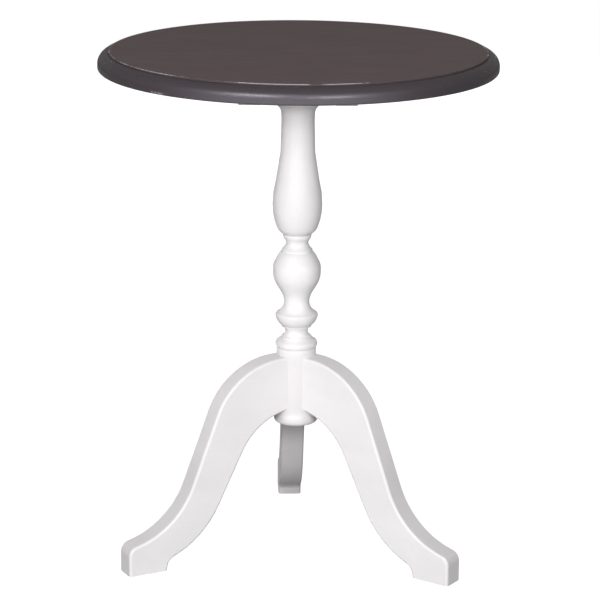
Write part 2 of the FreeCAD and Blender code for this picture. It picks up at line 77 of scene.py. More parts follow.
# outline of the legs, in millimetres
ROOT_REACH = 15                   # inside the shaft, where the outline starts before the leg is coped
CROWN_HEIGHT = 260
ARCH_HEIGHT = 189
HOLLOW = (82.6, 143.6)            # upper and lower end of the straight of the underside
CALF = (116.8, 75.8)
SOLE_SPARE = 6                    # drawn below the floor, and cut off once the arrises are rounded

WELD = 0.00001                    # points closer than this are one


# ---------------------------------------------------------------- modelling by hand

def only(piece):
    """Selects one piece and nothing else."""
    bpy.ops.object.select_all(action="DESELECT")
    piece.select_set(True)
    bpy.context.view_layer.objects.active = piece


def edit(piece):
    """Opens one piece in edit mode with all of it selected."""
    only(piece)
    bpy.ops.object.mode_set(mode="EDIT")
    bpy.ops.mesh.select_all(action="SELECT")


def leave_edit():
    """Goes back to object mode."""
    bpy.ops.object.mode_set(mode="OBJECT")


def apply_modifiers(piece):
    """Makes what the piece's modifiers do part of its mesh."""
    only(piece)
    for modifier in list(piece.modifiers):
        bpy.ops.object.modifier_apply(modifier=modifier.name)


def settle(piece):
    """Puts the piece's place and turn into its mesh."""
    only(piece)
    bpy.ops.object.transform_apply(location=True, rotation=True, scale=True)


def soften_edges(piece, width, angle, segments):
    """Rounds the edges that are sharper than the angle, as sanding does."""
    bevel = piece.modifiers.new("soft_edges", "BEVEL")
    bevel.width = width
    bevel.segments = segments
    bevel.limit_method = "ANGLE"
    bevel.angle_limit = math.radians(angle)
    bevel.use_clamp_overlap = True
    apply_modifiers(piece)


def make_outward(piece):
    """Closes the seams and points all faces outwards."""
    edit(piece)
    bpy.ops.mesh.remove_doubles(threshold=WELD)
    bpy.ops.mesh.normals_make_consistent(inside=False)
    leave_edit()


def smooth(piece, angle, flat_faces=False):
    """Smooth shading; where a piece has flat faces beside rounded edges, the flats keep their own normals."""
    only(piece)
    bpy.ops.object.shade_smooth_by_angle(angle=math.radians(angle))
    if flat_faces:
        weighted = piece.modifiers.new("flat_faces", "WEIGHTED_NORMAL")
        weighted.keep_sharp = True
        weighted.weight = 100
        apply_modifiers(piece)


def finish_piece(piece, name, body, material, node):
    """Names and paints a piece, and hangs it on its body in place of the CAD node."""
    piece.name = name
    piece.data.name = name
    piece.data.materials.clear()
    piece.data.materials.append(material)
    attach(piece, body)
    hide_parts(node)


def divided(points, arc_step):
    """An outline's points as vectors in metres, with arcs divided into steps of about so many degrees."""
    result = []
    for number, (across, up, bulge) in enumerate(points):
        start = Vector((across, up)) * MM
        result.append(start)
        if not bulge or number == len(points) - 1:
            continue
        end = Vector(points[number + 1][:2]) * MM
        angle = 4 * math.atan(bulge)
        steps = max(2, round(abs(math.degrees(angle)) / arc_step))
        chord = end - start
        radius = chord.length / (2 * math.sin(angle / 2))
        across_chord = Vector((-chord.y, chord.x)).normalized()
        centre = (start + end) / 2 + across_chord * radius * math.cos(angle / 2)
        arm = start - centre
        for step in range(1, steps):
            turned_by = angle * step / steps
            spoke = Vector((arm.x * math.cos(turned_by) - arm.y * math.sin(turned_by),
                            arm.x * math.sin(turned_by) + arm.y * math.cos(turned_by)))
            result.append(centre + spoke)
    return result


def turned(points, sides, arc_step):
    """A piece off the lathe: a disc at the bottom, then ring after ring drawn up and scaled."""
    rings = divided(points, arc_step)
    bpy.ops.object.select_all(action="DESELECT")
    bpy.ops.mesh.primitive_circle_add(vertices=sides, radius=rings[0].x, fill_type="NGON",
                                      location=(0, 0, rings[0].y))
    piece = bpy.context.object
    settle(piece)
    edit(piece)
    for before, ring in zip(rings, rings[1:]):
        bpy.ops.mesh.extrude_region_move(TRANSFORM_OT_translate={"value": (0, 0, ring.y - before.y)})
        grow = ring.x / before.x
        bpy.ops.transform.resize(value=(grow, grow, 1), center_override=(0, 0, ring.y))
    leave_edit()
    make_outward(piece)
    return piece


def drawn_board(points, thickness, arc_step):
    """A board sawn to an outline in the XZ plane: a plane merged to a point, walked round and thickened."""
    corners = divided(points + [points[0]], arc_step)
    bpy.ops.object.select_all(action="DESELECT")
    bpy.ops.mesh.primitive_plane_add(size=0.01, location=(0, 0, 0))
    piece = bpy.context.object
    edit(piece)
    bpy.ops.mesh.merge(type="CENTER")
    bpy.ops.transform.translate(value=(corners[0].x, -thickness / 2, corners[0].y))
    for before, corner in zip(corners, corners[1:]):
        step = (corner.x - before.x, 0, corner.y - before.y)
        bpy.ops.mesh.extrude_region_move(TRANSFORM_OT_translate={"value": step})
    bpy.ops.mesh.select_all(action="SELECT")
    bpy.ops.mesh.remove_doubles(threshold=WELD)
    bpy.ops.mesh.select_all(action="SELECT")
    bpy.ops.mesh.edge_face_add()
    bpy.ops.mesh.extrude_region_move(TRANSFORM_OT_translate={"value": (0, thickness, 0)})
    leave_edit()
    make_outward(piece)
    return piece


# ---------------------------------------------------------------- shader nodes

class Nodes:
    """Adds and joins shader nodes in one tree."""

    def __init__(self, tree):
        self.tree = tree

    def add(self, kind, **settings):
        node = self.tree.nodes.new(kind)
        for name, setting in settings.items():
            setattr(node, name, setting)
        return node

    def join(self, source, target):
        self.tree.links.new(source, target)

    def give(self, given, socket):
        """Sets a number on a socket, or joins another socket to it."""
        if isinstance(given, (int, float)):
            socket.default_value = given
        else:
            self.join(given, socket)

    def math(self, operation, *values, clamp=False):
        """The result of one operation on numbers or sockets."""
        node = self.add("ShaderNodeMath", operation=operation, use_clamp=clamp)
        for given, socket in zip(values, node.inputs):
            self.give(given, socket)
        return node.outputs[0]

    def product(self, first, *others):
        """All the values multiplied together."""
        for other in others:
            first = self.math("MULTIPLY", first, other)
        return first

    def split(self, vector):
        """The X, Y and Z of a vector."""
        node = self.add("ShaderNodeSeparateXYZ")
        self.join(vector, node.inputs[0])
        return [node.outputs[axis] for axis in "XYZ"]

    def span(self, source, low, high, to_low=0.0, to_high=1.0, interpolation="SMOOTHSTEP"):
        """Remaps low..high of a value, clamped and, unless told otherwise, eased at both ends."""
        node = self.add("ShaderNodeMapRange", interpolation_type=interpolation)
        self.join(source, node.inputs["Value"])
        node.inputs["From Min"].default_value = low
        node.inputs["From Max"].default_value = high
        node.inputs["To Min"].default_value = to_low
        node.inputs["To Max"].default_value = to_high
        return node.outputs[0]

    def band(self, source, start, full, fading, end):
        """Rises from 0 to 1 between start and full, and falls to 0 again between fading and end."""
        return self.product(self.span(source, start, full), self.span(source, end, fading))

    def noise(self, vector, scale, detail, roughness=0.5):
        node = self.add("ShaderNodeTexNoise")
        self.join(vector, node.inputs["Vector"])
        node.inputs["Scale"].default_value = scale
        node.inputs["Detail"].default_value = detail
        node.inputs["Roughness"].default_value = roughness
        return node.outputs["Fac"]

    def stretch(self, vector, scale):
        """The vector scaled along each axis."""
        node = self.add("ShaderNodeMapping")
        self.join(vector, node.inputs["Vector"])
        node.inputs["Scale"].default_value = scale
        return node.outputs[0]

    def turn(self, vector, degrees):
        """The vector turned about X, Y and Z."""
        node = self.add("ShaderNodeMapping")
        self.join(vector, node.inputs["Vector"])
        node.inputs["Rotation"].default_value = [math.radians(angle) for angle in degrees]
        return node.outputs[0]

    def blend(self, share, first, second, strength=None):
        """Changes the first colour or socket into the second colour, by the share times the strength."""
        if strength is not None:
            share = self.product(share, strength)
        node = self.add("ShaderNodeMix", data_type="RGBA")
        # a Mix node has its colour sockets after those for numbers and vectors
        factor, a_colour, b_colour, result = node.inputs[0], node.inputs[6], node.inputs[7], node.outputs[2]
        self.join(share, factor)
        if isinstance(first, tuple):
            a_colour.default_value = (*first, 1)
        else:
            self.join(first, a_colour)
        b_colour.default_value = (*second, 1)
        return result


def shader_group(name, inputs, outputs):
    """An empty shader node group: a Vector and the named numbers go in, and named numbers come out."""
    tree = bpy.data.node_groups.new(name, "ShaderNodeTree")
    tree.interface.new_socket("Vector", in_out="INPUT", socket_type="NodeSocketVector")
    for label, default in inputs.items():
        socket = tree.interface.new_socket(label, in_out="INPUT", socket_type="NodeSocketFloat")
        socket.default_value = default
    for label in outputs:
        tree.interface.new_socket(label, in_out="OUTPUT", socket_type="NodeSocketFloat")
    nodes = Nodes(tree)
    given = nodes.add("NodeGroupInput").outputs
    result = nodes.add("NodeGroupOutput").inputs
    return tree, nodes, given, result


def use_group(nodes, tree, vector, **settings):
    """Places a group in a material with its own values, and gives the group's outputs."""
    node = nodes.add("ShaderNodeGroup")
    node.node_tree = tree
    nodes.join(vector, node.inputs["Vector"])
    for label, given in settings.items():
        nodes.give(given, node.inputs[label])
    return node.outputs


# ---------------------------------------------------------------- effects, each a group placed where it shows

def build_grain_group():
    """Pores and bands of wood along X of the vector it is given, one unit to a metre."""
    tree, nodes, given, result = shader_group("wood_grain", {}, ["Bands", "Pores"])
    bands = nodes.noise(nodes.stretch(given["Vector"], (7, 75, 75)), scale=1.0, detail=5.0, roughness=0.6)
    pores = nodes.noise(nodes.stretch(given["Vector"], (45, 1100, 1100)), scale=1.0, detail=2.0)
    nodes.join(nodes.span(bands, 0.32, 0.68), result["Bands"])
    nodes.join(nodes.span(pores, 0.50, 0.72), result["Pores"])
    return tree


def build_brush_group():
    """Fine ridges left by a brush drawn along X, and the slow pooling of the coat."""
    tree, nodes, given, result = shader_group("brush_marks", {}, ["Ridges", "Pooling"])
    ridges = nodes.noise(nodes.stretch(given["Vector"], (14, 700, 700)), scale=1.0, detail=3.0,
                         roughness=0.55)
    pooling = nodes.noise(nodes.stretch(given["Vector"], (14, 22, 22)), scale=1.0, detail=3.0)
    nodes.join(ridges, result["Ridges"])
    nodes.join(nodes.span(pooling, 0.3, 0.7), result["Pooling"])
    return tree


def build_speckle_group():
    """Fine specks of dust that dried into the white coat."""
    tree, nodes, given, result = shader_group("dried_dust", {}, ["Specks"])
    specks = nodes.noise(given["Vector"], scale=620.0, detail=2.0, roughness=0.7)
    nodes.join(nodes.span(specks, 0.42, 0.62), result["Specks"])
    return tree


def build_crease_group():
    """A thin soft band of painted shade round a turning at one height, for the line where two members meet.
    """
    tree, nodes, given, result = shader_group(
        "crease_line", {"Height": 0.0, "Reach": 0.0008, "Depth": 0.25}, ["Line"])
    height = nodes.split(given["Vector"])[2]
    away = nodes.math("ABSOLUTE", nodes.math("SUBTRACT", height, given["Height"]))
    near = nodes.math("SUBTRACT", 1.0, nodes.math("DIVIDE", away, given["Reach"]), clamp=True)
    waver = nodes.noise(given["Vector"], scale=60.0, detail=2.0)
    uneven = nodes.span(waver, 0.3, 0.6, to_low=0.6, to_high=1.0)
    nodes.join(nodes.product(near, given["Depth"], uneven), result["Line"])
    return tree


def build_wear_group():
    """Breaks an edge mask up into rubbed patches: the threshold falls as the amount rises."""
    tree, nodes, given, result = shader_group("rubbed_edge", {"Edge": 0.0, "Amount": 0.5}, ["Rubbed"])
    long_patches = nodes.noise(given["Vector"], scale=26.0, detail=4.0, roughness=0.6)
    small_chips = nodes.noise(given["Vector"], scale=330.0, detail=3.0, roughness=0.6)
    both = nodes.math("ADD", nodes.product(long_patches, 0.6), nodes.product(small_chips, 0.4))
    level = nodes.math("ADD", both, nodes.math("SUBTRACT", given["Amount"], 0.5))
    patches = nodes.span(level, 0.40, 0.60)
    nodes.join(nodes.math("MULTIPLY", patches, given["Edge"], clamp=True), result["Rubbed"])
    return tree


# Where a mark lies is given in metres by two bounds, where it starts and where it is full, or by four, which
# add where it starts to fade and where it ends.

# painted shade on a leg: across the board, up from the floor, and into the wood from its underside
NARROW_EDGE = (LEG_THICKNESS / 2 - 0.0004, LEG_THICKNESS / 2 - 0.0030)
EDGE_SHADE_UP = (0.21, 0.05)
UNDERSIDE_DEPTH = (0.007, 0.003)
UNDERSIDE_SHADE_UP = (0.095, 0.145)


def build_leg_shade_group():
    """Masks for painted shade on a leg that points along X: its narrow edges low down, and its underside high
    up.
    """
    tree, nodes, given, result = shader_group("leg_shade_masks", {}, ["Scuffs", "UndersideShade"])
    reach, across, height = nodes.split(given["Vector"])
    narrow_edge = nodes.span(nodes.math("ABSOLUTE", across), *NARROW_EDGE)
    nodes.join(nodes.product(narrow_edge, nodes.span(height, *EDGE_SHADE_UP)), result["Scuffs"])
    straight = Vector(CALF) - Vector(HOLLOW)
    inward = Vector((-straight.y, straight.x)).normalized()
    depth = nodes.math("ADD", nodes.product(nodes.math("SUBTRACT", reach, HOLLOW[0] * MM), inward.x),
                       nodes.product(nodes.math("SUBTRACT", height, HOLLOW[1] * MM), inward.y))
    underside_mask = nodes.product(nodes.span(depth, *UNDERSIDE_DEPTH), nodes.span(height, *UNDERSIDE_SHADE_UP))
    nodes.join(underside_mask, result["UndersideShade"])
    return tree


def build_metal_group():
    """Fine scratches left by drawing the metal, and patches of tarnish."""
    tree, nodes, given, result = shader_group("metal_wear", {}, ["Scratches", "Tarnish"])
    scratches = nodes.noise(nodes.stretch(given["Vector"], (300, 300, 2600)), scale=1.0, detail=2.0)
    patches = nodes.noise(given["Vector"], scale=120.0, detail=4.0, roughness=0.6)
    nodes.join(scratches, result["Scratches"])
    nodes.join(nodes.span(patches, 0.35, 0.7), result["Tarnish"])
    return tree


GRAIN = build_grain_group()
BRUSH = build_brush_group()
SPECKLE = build_speckle_group()
CREASE = build_crease_group()
WEAR = build_wear_group()
LEG_SHADE_MASKS = build_leg_shade_group()
METAL_WEAR = build_metal_group()


# ---------------------------------------------------------------- materials

WHITE = (0.806, 0.789, 0.797)
# a greyer white: for the pooling, grain and specks of the coat, and as painted shade on the shaft among the
# legs
WHITE_SHADE = (0.712, 0.690, 0.698)
# the legs' white paint, made lighter on the column as painted light
COLUMN_WHITE_LIT = (0.885, 0.868, 0.876)
# grey for painted shade: under the top, on the foot's flanks, in the lines where turned members meet, and on
# the legs
SHADE_GREY = (0.37, 0.345, 0.352)

DARK = (0.126, 0.094, 0.096)
DARK_BANDS = (0.108, 0.080, 0.082)
DARK_PORES = (0.15, 0.13, 0.135)
STEP_SHADOW = (0.028, 0.023, 0.024)
# the rim painted darker than the flat, as painted shade on its sides
RIM_SHADED = (0.036, 0.031, 0.038)
# a lighter tone low on the front of the rim: painted sheen
RIM_SHEEN = (0.086, 0.077, 0.091)
WORN = (0.42, 0.38, 0.41)

BEARER_GREY = (0.58, 0.53, 0.55)
BEARER_BANDS = (0.44, 0.39, 0.40)
BEARER_PORES = (0.30, 0.25, 0.24)
BEECH = (0.55, 0.37, 0.21)
BEECH_BANDS = (0.42, 0.26, 0.14)
BEECH_PORES = (0.27, 0.15, 0.08)
BRASS_YELLOW = (0.80, 0.59, 0.30)
BRASS_TARNISH = (0.52, 0.36, 0.18)
STEEL_GREY = (0.62, 0.62, 0.62)
STEEL_TARNISH = (0.40, 0.38, 0.37)

PAINT_RELIEF = 0.00012            # height of the brush's ridges
WOOD_RELIEF = 0.0001
SCRATCH_RELIEF = 0.00003


def new_material(name):
    """A material with its nodes, its Principled shader and the place on the piece."""
    material = bpy.data.materials.new(name)
    material.use_nodes = True
    nodes = Nodes(material.node_tree)
    shader = material.node_tree.nodes["Principled BSDF"]
    place = nodes.add("ShaderNodeTexCoord").outputs["Object"]
    return material, nodes, shader, place


def bump(nodes, shader, height, distance, strength):
    """Gives the surface a relief too fine to model."""
    node = nodes.add("ShaderNodeBump")
    node.inputs["Strength"].default_value = strength
    node.inputs["Distance"].default_value = distance
    nodes.join(height, node.inputs["Height"])
    nodes.join(node.outputs["Normal"], shader.inputs["Normal"])


def white_paint(name, coat, smoothest, lay, marks):
    """Satin white brushed over wood: the coat is its colour, and smoothest its least roughness.

    The lay turns the piece's length to X, the way that the grain and the brush ran. The marks are a function
    that adds the piece's own painted shade: it gets the nodes, the colour so far, the place and the turned
    place.
    """
    material, nodes, shader, place = new_material(name)
    shader.inputs["Diffuse Roughness"].default_value = 0.12
    along = nodes.turn(place, lay)
    grain = use_group(nodes, GRAIN, along)
    brush = use_group(nodes, BRUSH, along)
    specks = use_group(nodes, SPECKLE, place)["Specks"]
    colour = nodes.blend(brush["Pooling"], coat, WHITE_SHADE, strength=0.35)
    colour = nodes.blend(grain["Bands"], colour, WHITE_SHADE, strength=0.10)
    colour = nodes.blend(specks, colour, WHITE_SHADE, strength=0.22)
    nodes.join(marks(nodes, colour, place, along), shader.inputs["Base Color"])
    rough = nodes.span(brush["Ridges"], 0.2, 0.8, to_low=smoothest, to_high=smoothest + 0.12)
    nodes.join(rough, shader.inputs["Roughness"])
    relief = nodes.math("ADD", nodes.product(brush["Ridges"], 0.6), nodes.product(grain["Pores"], -0.25))
    bump(nodes, shader, relief, PAINT_RELIEF, strength=0.55)
    return material


# painted shade on the column: up from the floor, and aside of the middle
UNDER_TOP_UP = (0.500, 0.590)
AMONG_LEGS_UP = (0.274, 0.254)
UNDER_ARCH_UP = (0.1715, 0.1785, 0.1865, 0.1905)
FLANKS_ASIDE = (0.013, 0.026)

# the lines of painted shade on the column: height and half width in millimetres, and strength
COLUMN_CREASES = ((COLLAR_TOP, 1.3, 0.30), (RING_TOP, 1.3, 0.26), (GROOVE, 1.0, 0.30), (LIP_TOP, 0.9, 0.08))


def column_shading(nodes, colour, place, along):
    """Painted shade under the top, between the legs, on the foot's flanks and in lines where turned members
    meet.
    """
    sideways, _, height = nodes.split(place)
    # painted shadow of the top on the stem below it
    colour = nodes.blend(nodes.span(height, *UNDER_TOP_UP), colour, SHADE_GREY, strength=0.45)
    # painted shade on the shaft among the legs
    colour = nodes.blend(nodes.span(height, *AMONG_LEGS_UP), colour, WHITE_SHADE, strength=0.8)
    # painted shade on the foot's flanks under the arch of the legs
    flanks = nodes.span(nodes.math("ABSOLUTE", sideways), *FLANKS_ASIDE)
    shaded_flanks = nodes.product(flanks, nodes.band(height, *UNDER_ARCH_UP))
    colour = nodes.blend(shaded_flanks, colour, SHADE_GREY, strength=0.55)
    # lines of painted shade where turned members meet
    for level, reach, depth in COLUMN_CREASES:
        line = use_group(nodes, CREASE, place, Height=level * MM, Reach=reach * MM, Depth=depth)["Line"]
        colour = nodes.blend(line, colour, SHADE_GREY)
    return colour


def leg_shading(edge_strength, underside_strength):
    """Painted shade down the narrow edges low on the leg, and on the underside high up behind the foot of the
    column.
    """
    def marks(nodes, colour, place, along):
        wear_and_shade = use_group(nodes, LEG_SHADE_MASKS, along)
        # painted shade on the narrow edges, darker towards the floor
        colour = nodes.blend(wear_and_shade["Scuffs"], colour, SHADE_GREY, strength=edge_strength)
        # painted shade on the underside high up
        return nodes.blend(wear_and_shade["UndersideShade"], colour, SHADE_GREY, strength=underside_strength)
    return marks


# marks on the top: out from its middle, up from the floor, sideways and to the back
FLAT_EDGE_OUT = (FLAT_RADIUS, FLAT_RADIUS + 0.001)
STEP_OUT = (FLAT_RADIUS - 0.0004, FLAT_RADIUS + 0.0002, FLAT_RADIUS + 0.0008, FLAT_RADIUS + 0.0026)
ARRIS_OUT = (FLAT_RADIUS - 0.0026, FLAT_RADIUS - 0.0008, FLAT_RADIUS, FLAT_RADIUS + 0.0006)
ARRIS_UP = (TOP_HIGH - 0.0009, TOP_HIGH - 0.0003)
LOW_EDGE_OUT = (TOP_RADIUS - 0.0022, TOP_RADIUS - 0.0006)
LOW_EDGE_UP = (TOP_LOW + 0.0045, TOP_LOW + 0.0025)
CHIPPED_SIDEWAYS = (-0.182, -0.170, -0.155, -0.143)
# painted sheen low on the front of the rim: its middle, and how far it reaches aside, up and back
SHEEN_MIDDLE = -0.006
SHEEN_ASIDE = (0.165, 0.065)
SHEEN_UP = (TOP_LOW + 0.0150, TOP_LOW + 0.0115)
SHEEN_BACK = (0.05, -0.10)

# how far the arris of the flat is rubbed: the place, from 0 at its left end to 1 at its right, and the amount
RUB_ALONG_FRONT = ((0.02, 0.46), (0.10, 0.52), (0.20, 0.50), (0.27, 0.42), (0.35, 0.50), (0.38, 0.68),
                   (0.51, 0.70), (0.545, 0.44), (0.575, 0.62), (0.62, 0.60), (0.68, 0.42),
                   (0.75, 0.12), (0.92, 0.12), (0.97, 0.46))


def grey_ramp(nodes, source, stops):
    """Grey levels along a value from 0 to 1, eased between the stops."""
    node = nodes.add("ShaderNodeValToRGB")
    nodes.join(source, node.inputs["Fac"])
    ramp = node.color_ramp
    ramp.interpolation = "EASE"
    while len(ramp.elements) < len(stops):
        ramp.elements.new(0.5)
    for element, (place, level) in zip(ramp.elements, stops):
        element.position = place
        element.color = (level, level, level, 1)
    return node.outputs["Color"]


def top_wear(nodes, place, radius, sideways, height):
    """Paint rubbed off along the arris of the flat, and chipped off the low edge of the rim on the left."""
    arris = nodes.product(nodes.band(radius, *ARRIS_OUT), nodes.span(height, *ARRIS_UP))
    across = nodes.span(sideways, -TOP_RADIUS, TOP_RADIUS, interpolation="LINEAR")
    amount = grey_ramp(nodes, across, RUB_ALONG_FRONT)
    rubbed = use_group(nodes, WEAR, place, Edge=arris, Amount=amount)["Rubbed"]
    low_edge = nodes.product(nodes.span(radius, *LOW_EDGE_OUT), nodes.span(height, *LOW_EDGE_UP))
    chips = nodes.span(nodes.band(sideways, *CHIPPED_SIDEWAYS), 0, 1, to_low=0.30, to_high=0.47)
    chipped = use_group(nodes, WEAR, place, Edge=low_edge, Amount=chips)["Rubbed"]
    return nodes.math("MAXIMUM", rubbed, chipped)


def dark_top_paint():
    """Dark brown-grey coat on the top, rubbed light along the edge of its flat and chipped at the rim; the
    rim is painted darker as painted shade, with a painted sheen low on its front and a painted shadow in the
    step.
    """
    material, nodes, shader, place = new_material("dark_top_paint")
    shader.inputs["Specular IOR Level"].default_value = 0.45
    grain = use_group(nodes, GRAIN, place)
    brush = use_group(nodes, BRUSH, place)
    sideways, back, height = nodes.split(place)
    squares = nodes.math("ADD", nodes.product(sideways, sideways), nodes.product(back, back))
    radius = nodes.math("SQRT", squares)

    colour = nodes.blend(grain["Bands"], DARK, DARK_BANDS, strength=0.6)
    colour = nodes.blend(brush["Pooling"], colour, DARK_BANDS, strength=0.15)
    colour = nodes.blend(grain["Pores"], colour, DARK_PORES, strength=0.25)
    on_rim = nodes.span(radius, *FLAT_EDGE_OUT)
    # painted shade: the rim darker than the flat
    colour = nodes.blend(on_rim, colour, RIM_SHADED, strength=0.8)
    # painted sheen low on the front of the rim
    aside = nodes.math("ABSOLUTE", nodes.math("SUBTRACT", sideways, SHEEN_MIDDLE))
    sheen = nodes.product(nodes.span(aside, *SHEEN_ASIDE), nodes.span(height, *SHEEN_UP),
                            nodes.span(back, *SHEEN_BACK))
    colour = nodes.blend(sheen, colour, RIM_SHEEN, strength=on_rim)
    colour = nodes.blend(nodes.band(radius, *STEP_OUT), colour, STEP_SHADOW, strength=0.9)
    worn = top_wear(nodes, place, radius, sideways, height)
    colour = nodes.blend(worn, colour, WORN)
    nodes.join(colour, shader.inputs["Base Color"])

    rough = nodes.span(brush["Pooling"], 0, 1, to_low=0.74, to_high=0.78)
    rough = nodes.math("SUBTRACT", rough, nodes.product(on_rim, 0.47))
    rough = nodes.math("ADD", rough, nodes.product(worn, 0.15))
    nodes.join(rough, shader.inputs["Roughness"])
    relief = nodes.math("ADD", nodes.product(brush["Ridges"], 0.5), nodes.product(grain["Pores"], -0.5))
    relief = nodes.math("SUBTRACT", relief, nodes.product(worn, 0.6))
    bump(nodes, shader, relief, PAINT_RELIEF, strength=0.6)
    return material


def bearer_paint(name, lay):
    """Thin pale grey coat over rails and block, with the wood's grain showing through."""
    material, nodes, shader, place = new_material(name)
    along = nodes.turn(place, lay)
    grain = use_group(nodes, GRAIN, along)
    brush = use_group(nodes, BRUSH, along)
    colour = nodes.blend(grain["Bands"], BEARER_GREY, BEARER_BANDS, strength=0.5)
    colour = nodes.blend(grain["Pores"], colour, BEARER_PORES, strength=0.35)
    nodes.join(colour, shader.inputs["Base Color"])
    nodes.join(nodes.span(brush["Ridges"], 0.2, 0.8, to_low=0.45, to_high=0.6), shader.inputs["Roughness"])
    bump(nodes, shader, nodes.math("ADD", brush["Ridges"], grain["Pores"]), PAINT_RELIEF, strength=0.5)
    return material


def bare_wood():
    """Unpainted beech of dowels and wedge."""
    material, nodes, shader, place = new_material("bare_beech")
    grain = use_group(nodes, GRAIN, place)
    colour = nodes.blend(grain["Bands"], BEECH, BEECH_BANDS)
    colour = nodes.blend(grain["Pores"], colour, BEECH_PORES, strength=0.5)
    nodes.join(colour, shader.inputs["Base Color"])
    nodes.join(nodes.span(grain["Pores"], 0, 1, to_low=0.55, to_high=0.75), shader.inputs["Roughness"])
    bump(nodes, shader, grain["Pores"], WOOD_RELIEF, strength=0.5)
    return material


def metal(name, bright, dull, smoothest, roughest):
    """Drawn metal, bright between patches of tarnish."""
    material, nodes, shader, place = new_material(name)
    wear_and_shade = use_group(nodes, METAL_WEAR, place)
    colour = nodes.blend(wear_and_shade["Tarnish"], bright, dull, strength=0.8)
    nodes.join(colour, shader.inputs["Base Color"])
    shader.inputs["Metallic"].default_value = 1.0
    rough = nodes.math("ADD", nodes.span(wear_and_shade["Tarnish"], 0, 1, to_low=smoothest, to_high=roughest),
                       nodes.product(wear_and_shade["Scratches"], 0.08))
    nodes.join(rough, shader.inputs["Roughness"])
    bump(nodes, shader, wear_and_shade["Scratches"], SCRATCH_RELIEF, strength=0.4)
    return material


# the lay of a piece: the turn about X, Y and Z that brings its length to X
LENGTH_ALONG_X = (0, 0, 0)
LENGTH_ALONG_Y = (0, 0, 90)
LENGTH_ALONG_Z = (0, 90, 0)

TOP_PAINT = dark_top_paint()
COLUMN_PAINT = white_paint("column_paint", COLUMN_WHITE_LIT, smoothest=0.34, lay=LENGTH_ALONG_Z,
                           marks=column_shading)
BLOCK_PAINT = bearer_paint("block_paint", LENGTH_ALONG_X)
RAIL_PAINT = bearer_paint("rail_paint", LENGTH_ALONG_Y)
BARE_WOOD = bare_wood()
BRASS = metal("aged_brass", BRASS_YELLOW, BRASS_TARNISH, smoothest=0.28, roughest=0.48)
STEEL = metal("dull_steel", STEEL_GREY, STEEL_TARNISH, smoothest=0.32, roughest=0.50)

CAD_FINISHES = {
    "pivot_block": BLOCK_PAINT, "bearer_left": RAIL_PAINT, "bearer_right": RAIL_PAINT,
    "tenon_wedge": BARE_WOOD, "bearer_screws_left": STEEL, "bearer_screws_right": STEEL,
    "pivot_pin_left": STEEL, "pivot_pin_right": STEEL, "bolt_guide": BRASS, "guide_screws": BRASS,
    "slide_bolt": BRASS, "bolt_knob": BRASS, "keeper_plate": BRASS, "keeper_screws": BRASS,
}
CAD_FINISHES.update({"leg_dowels_" + word: BARE_WOOD for word in LEG_AZIMUTHS})


def dress(node, material):
    """Gives a CAD node its finish."""
    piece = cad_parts[node]
    if not piece.material_slots:
        piece.data.materials.append(material)
    for slot in piece.material_slots:
        slot.material = material


for node, material in CAD_FINISHES.items():
    dress(node, material)


# ---------------------------------------------------------------- table top

def make_top():
    """The round top: its flat, the step below it, the ovolo and the round of the rim's low edge."""
    low = TOP_LOW / MM
    high = TOP_HIGH / MM
    core = CORE_RADIUS / MM
    flat = FLAT_RADIUS / MM
    rim = TOP_RADIUS / MM
    step = high - STEP_DROP / MM
    ovolo = OVOLO / MM
    rim_round = RIM_ROUND / MM
    piece = turned([
        (core, low, 0),
        (rim - rim_round, low, QUARTER),
        (rim, low + rim_round, 0),
        (rim, step - ovolo, QUARTER),
        (rim - ovolo, step, 0),
        (flat, step, 0),
        (flat, high, 0),
        (core, high, 0),
    ], sides=256, arc_step=6)
    soften_edges(piece, width=0.0006, angle=50, segments=3)
    smooth(piece, angle=32, flat_faces=True)
    finish_piece(piece, "top_board", "top", TOP_PAINT, "table_top")


# ---------------------------------------------------------------- turned column

COLUMN_PROFILE = [
    # foot bead, shaft among the legs, and the groove above it
    (24, COLUMN_LOW, 0.35), (28.3, 174.6, 0), (28.3, 178.8, -0.15),
    (SHAFT_RADIUS, 188.6, 0), (SHAFT_RADIUS, 268.8, 0), (24.2, GROOVE, 0),
    # torus and its fillet, cove and ring
    (24.8, 270, 0.44), (25.3, 278, -0.08), (19.6, 282.2, 0), (19.6, 283.8, 0),
    (18, 283.8, -0.5), (17.6, 296.4, 0), (18.9, 296.4, 0), (19.1, RING_TOP, 0.22),
    # lip, waist and ball
    (27.1, 311.6, 0.36), (24.6, LIP_TOP, -0.25), (16.1, 329, -0.13),
    (20.4, 343, 0.02), (26.9, 354, 0.13), (30.5, 370, 0.17), (27.2, 384.4, 0.09), (20.5, 395.4, 0),
    # fillet, throat and collar
    (19.7, 395.4, 0), (19.7, 398, -0.14), (14.2, 406, -0.18), (16.6, 412, 0.2), (18.1, COLLAR_TOP, 0.15),
    # vase, then stem and capital measured down from the block
    (25.9, 427, 0.1), (31.5, 456, 0.07), (27.5, 488, -0.064),
    (21, BLOCK_LOW - 41.7, -0.02), (21.3, BLOCK_LOW - 27.5, -0.1), (23.2, BLOCK_LOW - 21.7, -0.1),
    (35, BLOCK_LOW - 11.7, 0), (35, BLOCK_LOW, 0),
]


def make_column():
    """The turned column, from the foot below the legs to the block."""
    piece = turned(COLUMN_PROFILE, sides=COLUMN_SIDES, arc_step=7)
    soften_edges(piece, width=0.0004, angle=40, segments=2)
    smooth(piece, angle=40)
    finish_piece(piece, "turned_column", "stand", COLUMN_PAINT, "column")


# ---------------------------------------------------------------- legs

